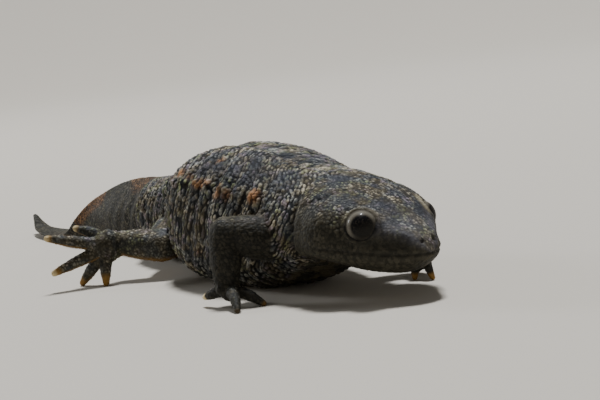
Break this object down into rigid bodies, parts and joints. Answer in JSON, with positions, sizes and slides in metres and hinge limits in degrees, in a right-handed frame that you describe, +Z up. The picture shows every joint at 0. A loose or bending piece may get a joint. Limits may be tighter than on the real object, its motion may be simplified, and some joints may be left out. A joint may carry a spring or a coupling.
{
  "type": "iberian ribbed newt model",
  "caption": "Life-size still model of a broad-headed ribbed newt, resting on its belly, feet and long finned tail.",
  "frame": {"origin": "on the floor below the middle of the whole animal's box", "axes": "+X along the trunk towards the head, +Y to the animal's left, +Z up"},
  "size_m": [0.171, 0.0606, 0.0224],
  "materials": {
    "skin": "moist granular skin, dark olive-brown with paler granules and rust-orange wart spots",
    "eye": "wet glossy eye with a pale gold-silver iris ring round a black pupil"
  },
  "bodies": {
    "root": {"head": "skin", "eye_left": "eye", "eye_right": "eye", "torso": "skin", "tail_base": "skin", "tail_middle": "skin", "tail_tip": "skin", "left_fore_upper": "skin", "left_fore_lower": "skin", "left_fore_foot": "skin", "right_fore_upper": "skin", "right_fore_lower": "skin", "right_fore_foot": "skin", "left_hind_upper": "skin", "left_hind_lower": "skin", "left_hind_foot": "skin", "right_hind_upper": "skin", "right_hind_lower": "skin", "right_hind_foot": "skin"}
  },
  "joints": []
}
